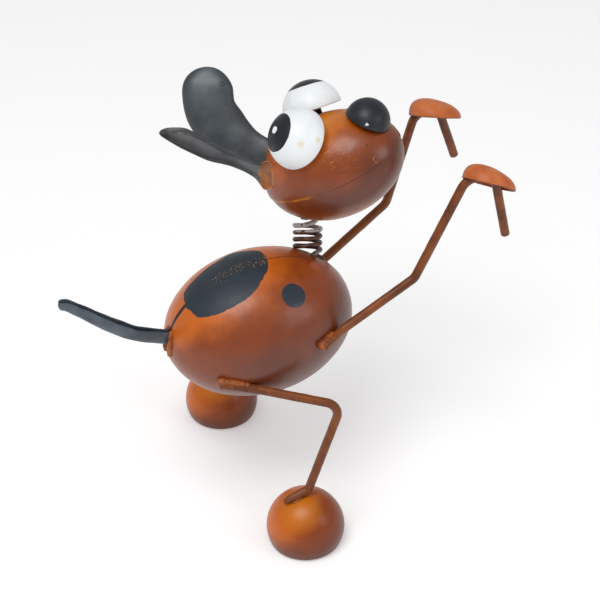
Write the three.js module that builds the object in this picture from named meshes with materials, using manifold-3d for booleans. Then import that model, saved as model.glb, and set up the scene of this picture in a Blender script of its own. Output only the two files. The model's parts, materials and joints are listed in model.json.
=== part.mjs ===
// Painted scrap-metal dog figure: pressed egg body and head, coil-spring neck, bent rod limbs.
// Millimetres, +Z up. The dog faces +X and its left side is +Y. The soles rest on Z = 0.
import * as THREE from "three";
import { mergeVertices } from "three/addons/utils/BufferGeometryUtils.js";
import Module from "manifold-3d";

const wasm = await Module();
wasm.setup();

// Clearances and facets
const GAP = 0.3;
const SEAM_BEVEL = 0.7;
const EGG_SIDES = 32;
const EGG_RINGS = 7;
const CUTTER_SIDES = 64;
const CUTTER_RINGS = 32;
const DOME_SIDES = 24;
const DOME_RINGS = 5;
const DOME_RIM = 0.9;
const LEAF_ARC = 6;
const LEAF_STATIONS = 11;
const LEAF_TIP_STATIONS = 4;
const LEAF_TIP_ANGLE = 1.45;
const LEAF_FULL_FROM = 0.55;
const LEAF_LEAST_INNER = 0.3;

// Body egg, pressed in a left and a right half
const BODY_LENGTH = 108.2;
const BODY_WIDTH = 80.6;
const BODY_HEIGHT = 80.8;
const BODY_CENTRE = new THREE.Vector3(-0.4, 0, 111.2);
const BODY_PITCH_DEG = 1.6;

// Head egg, pressed in an upper and a lower half, and the way to its weld with the neck
const HEAD_LENGTH = 83;
const HEAD_WIDTH = 58.2;
const HEAD_HEIGHT = 58.2;
const HEAD_YAW_DEG = -38.9;
const HEAD_PITCH_DEG = 30.1;
const HEAD_LIP = 0.5;
const HEAD_WELD = [-0.662, -0.185, -0.726];

// Eyes, on the head's surface
const EYE_DIAMETER = 32;
const EYE_WAY = [-0.036, 0.476, 0.879];
const EYE_STAND = 2.6;
const EYE_STUD_DIAMETER = 9;
const EYE_LEAN_BACK_DEG = 6.7;
const RIGHT_EYE_SPLAY_DEG = 36.4;
const LEFT_EYE_SPLAY_DEG = 27;

// Nose, sunk a little in the head's front
const NOSE_DIAMETER = 24.6;
const NOSE_HEIGHT = 13.2;
const NOSE_WAY = [0.768, 0, 0.64];
const NOSE_SINK = 2.1;
const NOSE_FACING = new THREE.Vector3(0.725, 0.28, 0.63).normalize();

// Ears, pressed spoons: centre lines in the head's frame, from the weld to the tip
const EAR_WALL = 1;
const EAR_ROOT_WIDTH = 13;
const EAR_WIDTH = 28.5;
const EAR_DEPTH = 5.2;
const EAR_ROOT_DEPTH = 2.4;
const EAR_SINK = 1.8;
const LEFT_EAR = {
  way: [-0.78, 0.427, 0.456],
  hollow: new THREE.Vector3(-0.39, 0.87, -0.33).normalize(),
  line: [
    [0, 0, 0],
    [-8.5, -0.4, 5.7],
    [-16.7, -0.1, 13.5],
    [-22.8, 1.3, 24],
    [-25.8, 4.3, 36.3],
    [-23.2, 9.1, 47.3],
    [-19.4, 15.9, 57.2],
  ],
};
const RIGHT_EAR = {
  way: [-0.622, -0.652, 0.434],
  hollow: new THREE.Vector3(-0.39, -0.87, -0.33).normalize(),
  line: [
    [0, 0, 0],
    [-9.5, 3.9, 6.8],
    [-19, 6.7, 14.6],
    [-27.7, 4.8, 25.2],
    [-34.7, 0, 36.6],
    [-37.8, -7.6, 45.7],
    [-38.4, -11.8, 50.8],
  ],
};

// Tail, a folded leaf: its rim line starts on the body's back end
const TAIL_WALL = 1;
const TAIL_WIDTH = 6.5;
const TAIL_ROOT_WIDTH = 4;
const TAIL_DEPTH = 6.6;
const TAIL_ROOT_DEPTH = 8;
const TAIL_WAY = [-0.965, 0, 0.262];
const TAIL_SINK = 1.1;
const TAIL_OPENS = new THREE.Vector3(0.5, 0, 0.87);
const TAIL_LINE = [
  [0, 0, 0],
  [-7, 0, 3],
  [-20, 0, 9],
  [-34, 0, 19.5],
  [-47, 0, 31],
  [-55.5, 0, 37.5],
  [-61, 0, 39.2],
];

// Rods
const ROD_DIAMETER = 5;
const ROD_SIDES = 10;
const ROD_BEND_RADIUS = 7;
const HOOK_BEND_RADIUS = 4.5;
const ANKLE_BEND_RADIUS = 4;
const BEND_STEP_DEG = 20;

// Feet, balls cut flat below
const FOOT_DIAMETER = 43.8;
const FOOT_CENTRE_HEIGHT = 9;
const FOOT_SIDE = 61;
const FOOT_RIM_BEVEL = 0.8;
const FOOT_SIDES = 28;
const FOOT_RINGS = 9;

// Legs: ways to the weld on the flank, the knee, and the two ends of the run on the foot
const HIP_END = [-0.649, 0.736, -0.191];
const HIP_FRONT = [-0.318, 0.893, -0.318];
const KNEE_FORWARD = 21.3;
const KNEE_HEIGHT = 89;
const ANKLE_FORWARD = 1.8;
const ANKLE_LIFT = 1.5;
const TOE_END_BACK = 12.8;
const TOE_END_IN = 1;
const TOE_END_LIFT = 0.6;

// Arms: ways to the weld on the flank, elbow, the crown in the paw and the cut hook end
const RIGHT_ARM = {
  rootBack: [0.366, -0.928, 0.068],
  rootFront: [0.619, -0.777, 0.115],
  elbow: new THREE.Vector3(76.1, -37, 141.7),
  crownBack: new THREE.Vector3(106.3, -37, 201),
  crownFront: new THREE.Vector3(119.2, -43, 196.4),
  hookEnd: new THREE.Vector3(127.9, -43, 159.5),
};
const LEFT_ARM = {
  rootBack: [0.49, 0.769, -0.4],
  rootFront: [0.705, 0.7, -0.119],
  elbow: new THREE.Vector3(96.4, 37, 139.7),
  crownBack: new THREE.Vector3(113.5, 37, 197.8),
  crownFront: new THREE.Vector3(125.2, 31.5, 197),
  hookEnd: new THREE.Vector3(136.6, 31.5, 165),
};

// Paws, shallow caps over the rods' crowns
const PAW_DIAMETER = 29.2;
const PAW_HEIGHT = 9.8;
const PAW_DROP = 3.1;
const PAW_LEAN_DEG = 26;
const PAW_AHEAD = 4.3;
const PAW_APEX_BACK = 5;

// Neck spring, on the body's top
const SPRING_WIRE = 2.3;
const SPRING_DIAMETER = 16.4;
const SPRING_WAY = [0.646, 0.238, 0.725];
const SPRING_AXIS = new THREE.Vector3(0.2, 0.428, 0.88).normalize();
const SPRING_LENGTH = 19.6;
const SPRING_START = 1.3;
const SPRING_PITCH = 3.8;
const SPRING_TURNS = 3.75;
const SPRING_WIND_IN = 0.5;
const SPRING_START_TURN = -0.12;
const SPRING_TAIL = 13;
const SPRING_STEPS_PER_TURN = 12;
const WIRE_SIDES = 6;

// Paint colours
const BROWN = material("brown_enamel", 0xb05a1e, 0.38, 0.05);
const ROD_BROWN = material("rod_enamel", 0x7a4024, 0.42, 0.1);
const SLATE = material("black_enamel", 0x2b3338, 0.42, 0.05);
const WHITE = material("white_enamel", 0xf2f3f1, 0.3, 0);
const WIRE = material("spring_wire", 0x4a2e24, 0.45, 0.4);

function material(name, color, roughness, metalness) {
  const made = new THREE.MeshStandardMaterial({ color, roughness, metalness });
  made.name = name;
  return made;
}

function node(name, geometry, paint) {
  const mesh = new THREE.Mesh(geometry, paint);
  mesh.name = name;
  return mesh;
}

function bare(geometry) {
  geometry.deleteAttribute("normal");
  geometry.deleteAttribute("uv");
  return mergeVertices(geometry, 1e-4);
}

function toSolid(geometry) {
  const merged = bare(geometry.clone());
  return new wasm.Manifold(
    new wasm.Mesh({
      numProp: 3,
      vertProperties: new Float32Array(merged.attributes.position.array),
      triVerts: new Uint32Array(merged.index.array),
    }),
  );
}

function fromSolid(solid) {
  const mesh = solid.getMesh();
  const geometry = new THREE.BufferGeometry();
  geometry.setAttribute("position", new THREE.BufferAttribute(mesh.vertProperties, 3));
  geometry.setIndex(new THREE.BufferAttribute(mesh.triVerts, 1));
  geometry.computeVertexNormals();
  return geometry;
}

function cut(geometry, ...cutters) {
  let solid = toSolid(geometry);
  for (const cutter of cutters) solid = solid.subtract(toSolid(cutter));
  return fromSolid(solid);
}

// An ellipsoid that stands off an egg's surface by the gap, to trim what is welded to the egg
function eggCutter(length, width, height) {
  const geometry = new THREE.SphereGeometry(1, CUTTER_SIDES, CUTTER_RINGS);
  return geometry.scale(length / 2 + GAP, width / 2 + GAP, height / 2 + GAP);
}

// One pressed half of an egg: its pole is along +Y, and its seam face stands off the middle plane
function eggHalf(poleRadius, radiusX, radiusZ, rings) {
  const face = GAP / 2;
  const profile = [new THREE.Vector2(0, face)];
  profile.push(new THREE.Vector2(1 - SEAM_BEVEL / radiusX, face));
  for (let i = 0; i < rings; i++) {
    const angle = (i / rings) * (Math.PI / 2);
    const height = Math.max(poleRadius * Math.sin(angle), face + SEAM_BEVEL);
    profile.push(new THREE.Vector2(Math.cos(angle), height));
  }
  profile.push(new THREE.Vector2(0, poleRadius));
  const geometry = new THREE.LatheGeometry(profile, EGG_SIDES);
  return geometry.scale(radiusX, 1, radiusZ);
}

// A dome with a flat base at Y = 0 and its top along +Y, with an optional stud under the base
function dome(diameter, height, stud) {
  const radius = diameter / 2;
  const profile = [];
  if (stud) {
    profile.push(new THREE.Vector2(0, -stud.length));
    profile.push(new THREE.Vector2(stud.diameter / 2, -stud.length));
    profile.push(new THREE.Vector2(stud.diameter / 2, 0));
  } else {
    profile.push(new THREE.Vector2(0, 0));
  }
  profile.push(new THREE.Vector2(radius - DOME_RIM / 2, 0));
  profile.push(new THREE.Vector2(radius, DOME_RIM / 2));
  profile.push(new THREE.Vector2(radius, DOME_RIM));
  for (let i = 1; i < DOME_RINGS; i++) {
    const angle = (i / DOME_RINGS) * (Math.PI / 2);
    const rise = DOME_RIM + (height - DOME_RIM) * Math.sin(angle);
    profile.push(new THREE.Vector2(radius * Math.cos(angle), rise));
  }
  profile.push(new THREE.Vector2(0, height));
  return new THREE.LatheGeometry(profile, DOME_SIDES);
}

// Turns +Y to a direction and moves the origin to a place
function placed(geometry, place, direction) {
  const turn = new THREE.Quaternion().setFromUnitVectors(new THREE.Vector3(0, 1, 0), direction);
  return geometry.applyQuaternion(turn).translate(place.x, place.y, place.z);
}

// A centre line that is sampled only at its own stations, so that straight runs cost no facets
class StationPath extends THREE.Curve {
  constructor(stations) {
    super();
    this.stations = stations;
  }
  get steps() {
    return this.stations.length - 1;
  }
  getPoint(t, target = new THREE.Vector3()) {
    return target.copy(this.stations[Math.round(t * this.steps)].point);
  }
  getPointAt(u, target = new THREE.Vector3()) {
    return this.getPoint(u, target);
  }
  getTangentAt(u, target = new THREE.Vector3()) {
    return target.copy(this.stations[Math.round(u * this.steps)].tangent);
  }
}

// A rod bent at its corners: corners are [point, bend radius]
function bentPath(corners) {
  const stations = [];
  const way = (a, b) => b.point.clone().sub(a.point).normalize();
  stations.push({ point: corners[0].point, tangent: way(corners[0], corners[1]) });
  for (let i = 1; i < corners.length - 1; i++) {
    const into = way(corners[i - 1], corners[i]);
    const out = way(corners[i], corners[i + 1]);
    const angle = into.angleTo(out);
    const reach = corners[i].bend * Math.tan(angle / 2);
    const from = corners[i].point.clone().addScaledVector(into, -reach);
    const to = corners[i].point.clone().addScaledVector(out, reach);
    const bend = new THREE.QuadraticBezierCurve3(from, corners[i].point, to);
    const count = Math.max(2, Math.ceil(THREE.MathUtils.radToDeg(angle) / BEND_STEP_DEG));
    for (let k = 0; k <= count; k++) {
      stations.push({ point: bend.getPoint(k / count), tangent: bend.getTangent(k / count) });
    }
  }
  const last = corners.length - 1;
  stations.push({ point: corners[last].point, tangent: way(corners[last - 1], corners[last]) });
  return new StationPath(stations);
}

function tube(path, diameter, sides) {
  const section = new THREE.Shape();
  section.absarc(0, 0, diameter / 2, 0, Math.PI * 2);
  return new THREE.ExtrudeGeometry(section, {
    extrudePath: path,
    steps: path.steps,
    curveSegments: sides / 2,
  });
}

// A pressed channel along a rim line: a half-round wall, hollow on one side, with a round tip
function pressedLeaf({ root, line, hollow, wall, width, rootWidth, depth, rootDepth }) {
  const path = new THREE.CatmullRomCurve3(line.map((p) => new THREE.Vector3(...p).add(root)));
  const tipShare = width / 2 / path.getLength();
  const shares = [];
  for (let i = 0; i < LEAF_STATIONS; i++) shares.push((i / LEAF_STATIONS) * (1 - tipShare));
  for (let i = 0; i <= LEAF_TIP_STATIONS; i++) {
    const angle = (i / LEAF_TIP_STATIONS) * LEAF_TIP_ANGLE;
    shares.push(1 - tipShare + tipShare * Math.sin(angle));
  }
  const positions = [];
  const faces = [];
  const count = 2 * (LEAF_ARC + 1);
  for (const u of shares) {
    const centre = path.getPointAt(u);
    const along = path.getTangentAt(u);
    const across = along.clone().cross(hollow).normalize();
    const open = across.clone().cross(along).normalize();
    const tip = Math.max(0, (u - 1 + tipShare) / tipShare);
    const round = Math.sqrt(1 - tip * tip);
    const spread = THREE.MathUtils.smoothstep(u, 0, LEAF_FULL_FROM);
    const half = (THREE.MathUtils.lerp(rootWidth, width, spread) / 2) * round;
    const deep = Math.max(THREE.MathUtils.lerp(rootDepth, depth, spread) * round, wall);
    const ring = [];
    for (let k = 0; k <= LEAF_ARC; k++) ring.push([half, deep, (k / LEAF_ARC) * Math.PI]);
    const innerHalf = Math.max(half - wall, half * LEAF_LEAST_INNER);
    const innerDeep = Math.max(deep - wall, deep * LEAF_LEAST_INNER);
    for (let k = LEAF_ARC; k >= 0; k--) ring.push([innerHalf, innerDeep, (k / LEAF_ARC) * Math.PI]);
    for (const [reach, sag, angle] of ring) {
      const point = centre.clone();
      point.addScaledVector(across, reach * Math.cos(angle));
      point.addScaledVector(open, -sag * Math.sin(angle));
      positions.push(point.x, point.y, point.z);
    }
  }
  const end = (shares.length - 1) * count;
  for (let start = 0; start < end; start += count) {
    for (let k = 0; k < count; k++) {
      const a = start + k;
      const b = start + ((k + 1) % count);
      faces.push(a, b, a + count, b, b + count, a + count);
    }
  }
  // Both ends are closed across the wall's thickness
  for (let outer = 0; outer < LEAF_ARC; outer++) {
    const inner = count - 1 - outer;
    faces.push(outer, inner, outer + 1, outer + 1, inner, inner - 1);
    faces.push(end + outer, end + outer + 1, end + inner);
    faces.push(end + outer + 1, end + inner - 1, end + inner);
  }
  const geometry = new THREE.BufferGeometry();
  geometry.setAttribute("position", new THREE.Float32BufferAttribute(positions, 3));
  geometry.setIndex(faces);
  return geometry;
}

function mirroredWay([x, y, z], side) {
  return [x, side * y, z];
}

// A point that stands off an egg's surface, on the way given as shares of the egg's half sizes
function offEgg(way, length, width, height, stand) {
  const halves = new THREE.Vector3(length / 2 + stand, width / 2 + stand, height / 2 + stand);
  return new THREE.Vector3(...way).normalize().multiply(halves);
}

const SIDES = [
  { name: "right", side: -1, arm: RIGHT_ARM, ear: RIGHT_EAR, splay: RIGHT_EYE_SPLAY_DEG },
  { name: "left", side: 1, arm: LEFT_ARM, ear: LEFT_EAR, splay: LEFT_EYE_SPLAY_DEG },
];

const dog = new THREE.Group();
const bodyTurn = new THREE.Euler(0, THREE.MathUtils.degToRad(-BODY_PITCH_DEG), 0);
const bodyQuaternion = new THREE.Quaternion().setFromEuler(bodyTurn);

function bodyCutter() {
  const cutter = eggCutter(BODY_LENGTH, BODY_WIDTH, BODY_HEIGHT).applyQuaternion(bodyQuaternion);
  return cutter.translate(BODY_CENTRE.x, BODY_CENTRE.y, BODY_CENTRE.z);
}

function offBody(way, stand) {
  const point = offEgg(way, BODY_LENGTH, BODY_WIDTH, BODY_HEIGHT, stand);
  return point.applyQuaternion(bodyQuaternion).add(BODY_CENTRE);
}

function offHead(way, stand) {
  return offEgg(way, HEAD_LENGTH, HEAD_WIDTH, HEAD_HEIGHT, stand);
}

function addBody() {
  for (const { name, side } of SIDES) {
    const half = eggHalf(BODY_WIDTH / 2, BODY_LENGTH / 2, BODY_HEIGHT / 2, EGG_RINGS);
    if (side < 0) half.rotateX(Math.PI);
    const mesh = node(`body_half_${name}`, half, BROWN);
    mesh.position.copy(BODY_CENTRE);
    mesh.quaternion.copy(bodyQuaternion);
    dog.add(mesh);
  }
}

const springFoot = offBody(SPRING_WAY, 0);
const head = new THREE.Group();
const headYaw = THREE.MathUtils.degToRad(HEAD_YAW_DEG);
const headPitch = THREE.MathUtils.degToRad(-HEAD_PITCH_DEG);
head.rotation.set(0, headPitch, headYaw, "ZYX");
head.position.copy(offHead(HEAD_WELD, GAP).negate().applyQuaternion(head.quaternion));
head.position.add(springFoot).addScaledVector(SPRING_AXIS, SPRING_LENGTH);
head.updateMatrix();

function headCutter() {
  return eggCutter(HEAD_LENGTH, HEAD_WIDTH, HEAD_HEIGHT);
}

function addHead() {
  const upper = eggHalf(HEAD_HEIGHT / 2, HEAD_LENGTH / 2, HEAD_WIDTH / 2, EGG_RINGS);
  upper.rotateX(Math.PI / 2);
  head.add(node("head_upper_half", upper, BROWN));
  const lower = eggHalf(
    HEAD_HEIGHT / 2 - HEAD_LIP,
    HEAD_LENGTH / 2 - HEAD_LIP,
    HEAD_WIDTH / 2 - HEAD_LIP,
    EGG_RINGS,
  );
  lower.rotateX(-Math.PI / 2);
  head.add(node("head_lower_half", lower, BROWN));
}

function addEyes() {
  const lean = THREE.MathUtils.degToRad(EYE_LEAN_BACK_DEG);
  const stud = { diameter: EYE_STUD_DIAMETER, length: 2 * EYE_STAND };
  for (const { name, side, splay: splayDeg } of SIDES) {
    const splay = THREE.MathUtils.degToRad(splayDeg);
    const facing = new THREE.Vector3(
      -Math.sin(lean) * Math.cos(splay),
      side * Math.sin(splay),
      Math.cos(lean) * Math.cos(splay),
    ).normalize();
    const shape = dome(EYE_DIAMETER, EYE_DIAMETER / 2, stud);
    placed(shape, offHead(mirroredWay(EYE_WAY, side), EYE_STAND), facing);
    head.add(node(`eye_${name}`, cut(shape, headCutter()), WHITE));
  }
}

function addNose() {
  const shape = placed(dome(NOSE_DIAMETER, NOSE_HEIGHT), offHead(NOSE_WAY, -NOSE_SINK), NOSE_FACING);
  head.add(node("nose", cut(shape, headCutter()), SLATE));
}

function addEars() {
  for (const { name, ear } of SIDES) {
    const shape = pressedLeaf({
      root: offHead(ear.way, -EAR_SINK),
      line: ear.line,
      hollow: ear.hollow,
      wall: EAR_WALL,
      width: EAR_WIDTH,
      rootWidth: EAR_ROOT_WIDTH,
      depth: EAR_DEPTH,
      rootDepth: EAR_ROOT_DEPTH,
    });
    head.add(node(`ear_${name}`, cut(shape, headCutter()), SLATE));
  }
}

function addTail() {
  const shape = pressedLeaf({
    root: offBody(TAIL_WAY, -TAIL_SINK),
    line: TAIL_LINE,
    hollow: TAIL_OPENS,
    wall: TAIL_WALL,
    width: TAIL_WIDTH,
    rootWidth: TAIL_ROOT_WIDTH,
    depth: TAIL_DEPTH,
    rootDepth: TAIL_ROOT_DEPTH,
  });
  dog.add(node("tail", cut(shape, bodyCutter()), SLATE));
}

function addSpring() {
  const radius = (SPRING_DIAMETER - SPRING_WIRE) / 2;
  const sideX = new THREE.Vector3(1, 0, 0);
  sideX.addScaledVector(SPRING_AXIS, -sideX.dot(SPRING_AXIS)).normalize();
  const sideY = SPRING_AXIS.clone().cross(sideX);
  const at = (turn, reach, rise) => {
    const angle = turn * Math.PI * 2;
    const point = springFoot.clone().addScaledVector(SPRING_AXIS, rise);
    point.addScaledVector(sideX, reach * Math.cos(angle));
    return point.addScaledVector(sideY, reach * Math.sin(angle));
  };
  const points = [];
  const coilSteps = Math.round(SPRING_TURNS * SPRING_STEPS_PER_TURN);
  for (let i = 0; i <= coilSteps; i++) {
    const turn = i / SPRING_STEPS_PER_TURN;
    points.push(at(SPRING_START_TURN + turn, radius, SPRING_START + turn * SPRING_PITCH));
  }
  // The last turn winds in to the axis and runs up to the weld under the head
  const inSteps = Math.round(SPRING_WIND_IN * SPRING_STEPS_PER_TURN);
  const endTurn = SPRING_START_TURN + SPRING_TURNS;
  const endRise = SPRING_START + SPRING_TURNS * SPRING_PITCH;
  const topRise = SPRING_LENGTH + SPRING_WIRE;
  for (let i = 1; i <= inSteps; i++) {
    const share = i / inSteps;
    const reach = radius * (1 - share * share);
    const rise = THREE.MathUtils.lerp(endRise, topRise, share);
    points.push(at(endTurn + share * SPRING_WIND_IN, reach, rise));
  }
  // The first turn begins with a straight tail along the body's top
  const first = points[0].clone();
  const start = points[0].clone().sub(points[1]).normalize();
  points.unshift(first.addScaledVector(start, SPRING_TAIL));
  const stations = points.map((point, i) => {
    const before = points[Math.max(0, i - 1)];
    const after = points[Math.min(points.length - 1, i + 1)];
    return { point, tangent: after.clone().sub(before).normalize() };
  });
  const wire = tube(new StationPath(stations), SPRING_WIRE, WIRE_SIDES);
  const headShape = headCutter().applyMatrix4(head.matrix);
  dog.add(node("neck_spring", cut(wire, bodyCutter(), headShape), WIRE));
}

function footCentre(side) {
  return new THREE.Vector3(0, side * FOOT_SIDE, FOOT_CENTRE_HEIGHT);
}

// A ball cut flat below, with its centre at the origin
function footBall() {
  const radius = FOOT_DIAMETER / 2;
  const cutAngle = Math.asin(-FOOT_CENTRE_HEIGHT / radius);
  const profile = [new THREE.Vector2(0, -FOOT_CENTRE_HEIGHT)];
  profile.push(new THREE.Vector2(radius * Math.cos(cutAngle) - FOOT_RIM_BEVEL, -FOOT_CENTRE_HEIGHT));
  for (let i = 1; i < FOOT_RINGS; i++) {
    const angle = THREE.MathUtils.lerp(cutAngle, Math.PI / 2, i / FOOT_RINGS);
    profile.push(new THREE.Vector2(radius * Math.cos(angle), radius * Math.sin(angle)));
  }
  profile.push(new THREE.Vector2(0, radius));
  return new THREE.LatheGeometry(profile, FOOT_SIDES).rotateX(Math.PI / 2);
}

function addFeet() {
  for (const { name, side } of SIDES) {
    const mesh = node(`foot_${name}`, footBall(), BROWN);
    mesh.position.copy(footCentre(side));
    dog.add(mesh);
  }
}

function addLegs() {
  const lift = FOOT_DIAMETER / 2 + ROD_DIAMETER / 2;
  const stand = ROD_DIAMETER / 2 + GAP;
  for (const { name, side } of SIDES) {
    const centre = footCentre(side);
    const ankle = new THREE.Vector3(ANKLE_FORWARD, 0, ANKLE_LIFT + Math.sqrt(lift ** 2 - ANKLE_FORWARD ** 2));
    const toeRise = TOE_END_LIFT + Math.sqrt(lift ** 2 - TOE_END_BACK ** 2);
    const toeEnd = new THREE.Vector3(-TOE_END_BACK, -side * TOE_END_IN, toeRise);
    const corners = [
      { point: offBody(mirroredWay(HIP_END, side), stand) },
      { point: offBody(mirroredWay(HIP_FRONT, side), stand), bend: ROD_BEND_RADIUS },
      { point: new THREE.Vector3(KNEE_FORWARD, side * FOOT_SIDE, KNEE_HEIGHT), bend: ROD_BEND_RADIUS },
      { point: ankle.add(centre), bend: ANKLE_BEND_RADIUS },
      { point: toeEnd.add(centre) },
    ];
    const rod = tube(bentPath(corners), ROD_DIAMETER, ROD_SIDES);
    const ball = new THREE.SphereGeometry(FOOT_DIAMETER / 2 + GAP, CUTTER_SIDES, CUTTER_RINGS);
    ball.translate(centre.x, centre.y, centre.z);
    dog.add(node(`leg_${name}`, cut(rod, bodyCutter(), ball), ROD_BROWN));
  }
}

function armPath(arm) {
  const stand = ROD_DIAMETER / 2 + GAP;
  return bentPath([
    { point: offBody(arm.rootBack, stand) },
    { point: offBody(arm.rootFront, stand), bend: ROD_BEND_RADIUS },
    { point: arm.elbow, bend: ROD_BEND_RADIUS },
    { point: arm.crownBack, bend: HOOK_BEND_RADIUS },
    { point: arm.crownFront, bend: HOOK_BEND_RADIUS },
    { point: arm.hookEnd },
  ]);
}

function addArms() {
  for (const { name, arm } of SIDES) {
    const rod = tube(armPath(arm), ROD_DIAMETER, ROD_SIDES);
    dog.add(node(`arm_${name}`, cut(rod, bodyCutter()), ROD_BROWN));
  }
}

// A cap whose top leans back, so that it falls away towards the toes, with a channel for the rod
function addPaws() {
  const lean = THREE.MathUtils.degToRad(PAW_LEAN_DEG);
  for (const { name, arm } of SIDES) {
    const along = arm.crownFront.clone().sub(arm.crownBack).normalize();
    const upright = along.clone().cross(new THREE.Vector3(0, 1, 0)).normalize();
    const aside = upright.clone().cross(along);
    const facing = upright.multiplyScalar(Math.cos(lean)).addScaledVector(aside, Math.sin(lean));
    const place = arm.crownBack.clone().lerp(arm.crownFront, 0.5).addScaledVector(along, PAW_AHEAD);
    place.addScaledVector(facing, -PAW_DROP);
    const cap = dome(PAW_DIAMETER, PAW_HEIGHT);
    const position = cap.attributes.position;
    for (let i = 0; i < position.count; i++) {
      const share = position.getY(i) / PAW_HEIGHT;
      position.setX(i, position.getX(i) - PAW_APEX_BACK * share * share);
    }
    const frame = new THREE.Matrix4().makeBasis(along, facing, along.clone().cross(facing));
    cap.applyMatrix4(frame.setPosition(place));
    const channel = tube(armPath(arm), ROD_DIAMETER + 2 * GAP, ROD_SIDES);
    dog.add(node(`paw_${name}`, cut(cap, channel), BROWN));
  }
}

addBody();
addHead();
addEyes();
addNose();
addEars();
addTail();
addSpring();
addFeet();
addLegs();
addArms();
addPaws();
dog.add(head);

// The frame's origin is under the middle of the whole figure, on the floor
const part = new THREE.Group();
part.add(dog);
const box = new THREE.Box3().setFromObject(dog, true);
const middle = box.getCenter(new THREE.Vector3());
dog.position.set(-middle.x, -middle.y, -box.min.z);

export default part;
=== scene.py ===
"""Looks of the painted scrap-metal dog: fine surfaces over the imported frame, enamel paint and a soft studio.

Lengths are millimetres until a mesh is made. The dog's own frame has its origin on the floor midway
between the feet, +X forward and +Y to the dog's left, and FEET_MIDDLE moves it into the frame of the part.
"""
import json
import math

import bpy
from mathutils import Euler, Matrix, Quaternion, Vector, noise

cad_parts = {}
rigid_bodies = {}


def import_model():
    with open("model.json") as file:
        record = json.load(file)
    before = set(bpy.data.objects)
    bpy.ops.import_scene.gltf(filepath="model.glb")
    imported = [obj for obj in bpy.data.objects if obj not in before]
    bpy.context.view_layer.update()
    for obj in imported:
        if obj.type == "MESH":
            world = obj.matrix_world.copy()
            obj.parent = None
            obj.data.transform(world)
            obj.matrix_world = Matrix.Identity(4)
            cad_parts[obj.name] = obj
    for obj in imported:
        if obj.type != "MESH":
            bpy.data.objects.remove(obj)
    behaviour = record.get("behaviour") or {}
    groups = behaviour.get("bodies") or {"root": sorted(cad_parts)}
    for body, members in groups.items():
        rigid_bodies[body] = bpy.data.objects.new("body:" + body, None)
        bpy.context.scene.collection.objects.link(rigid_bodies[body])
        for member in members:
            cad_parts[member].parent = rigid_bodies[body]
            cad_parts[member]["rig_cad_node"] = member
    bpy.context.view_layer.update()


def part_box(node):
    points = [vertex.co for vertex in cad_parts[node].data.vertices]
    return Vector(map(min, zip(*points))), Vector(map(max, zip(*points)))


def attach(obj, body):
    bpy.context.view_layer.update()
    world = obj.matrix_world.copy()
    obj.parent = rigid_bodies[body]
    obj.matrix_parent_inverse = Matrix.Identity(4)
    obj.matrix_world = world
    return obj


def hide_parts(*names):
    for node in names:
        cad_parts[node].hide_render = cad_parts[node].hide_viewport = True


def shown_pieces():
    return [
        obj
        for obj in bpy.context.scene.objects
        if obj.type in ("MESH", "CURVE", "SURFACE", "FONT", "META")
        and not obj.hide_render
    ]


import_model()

MM = 0.001
UP = Vector((0, 0, 1))
SIDES = {"right": -1, "left": 1}
POLE_RADIUS = 0.001

# Body egg
BODY_HALVES = Vector((54.1, 40.3, 40.4))
BODY_CENTRE = Vector((-0.4, 0, 111.2))
BODY_TURN = Euler((0, math.radians(-1.6), 0)).to_quaternion()

# Head egg
HEAD_HALVES = Vector((41.5, 29.1, 29.1))
HEAD_TURN = Quaternion((0, 0, 1), math.radians(-38.9)) @ Quaternion((0, 1, 0), math.radians(-30.1))
HEAD_WELD = (-0.662, -0.185, -0.726)
HEAD_WELD_STAND = 0.3
HEAD_LIP = 0.5

# Edges of the egg halves, where they meet at the seam
SEAM_EDGE = 0.15
SEAM_GAP = 0.04
SEAM_TURNED_IN = 0.985

# Neck spring
SPRING_WAY = (0.646, 0.238, 0.725)
SPRING_AXIS = Vector((0.2, 0.428, 0.88)).normalized()
SPRING_LENGTH = 19.6
SPRING_WIRE = 2.3
SPRING_WIRE_PAINTED = 2.6
SPRING_DIAMETER = 16.4
SPRING_START = 1.3
SPRING_PITCH = 3.8
SPRING_TURNS = 3.75
SPRING_WIND_IN = 0.5
SPRING_START_TURN = -0.12
SPRING_TAIL = 13
SPRING_TAIL_STEPS = 12
SPRING_STEPS = 48
SPRING_FOOT_WELD = [(0.68, 0.21, 0.7), (0.8, 0.13, 0.6)]
SPRING_TOP_WELD = (-4, 5)

# Eyes
EYE_RADII = {"right": 16.8, "left": 16.4}
EYE_RIM = 0.7
EYE_WAY = (-0.036, 0.476, 0.879)
EYE_STANDS = {"right": 2.6, "left": 3.4}
EYE_STUD_RADIUS = 4.5
EYE_STUD_PAINT = 5.6
EYE_STUD_PAINT_BACK = 4
EYE_FACING = {"right": (-0.094, -0.593, 0.799), "left": (0.051, 0.379, 0.924)}
PUPIL_RADIUS = 10.9
PUPIL_WAY = {"right": (-0.386, -0.475, 0.804), "left": (0.02, 0.47, 0.88)}
GLINT_SHIFT = Vector((-0.16, -0.02, 0.17))
GLINT_RADIUS = 2.4

# Nose
NOSE_RADIUS = 12.3
NOSE_HEIGHT = 13.2
NOSE_RIM = 0.8
NOSE_WAY = (0.768, 0, 0.64)
NOSE_SINK = 2.1
NOSE_FACING = Vector((0.725, 0.28, 0.63)).normalized()

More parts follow.
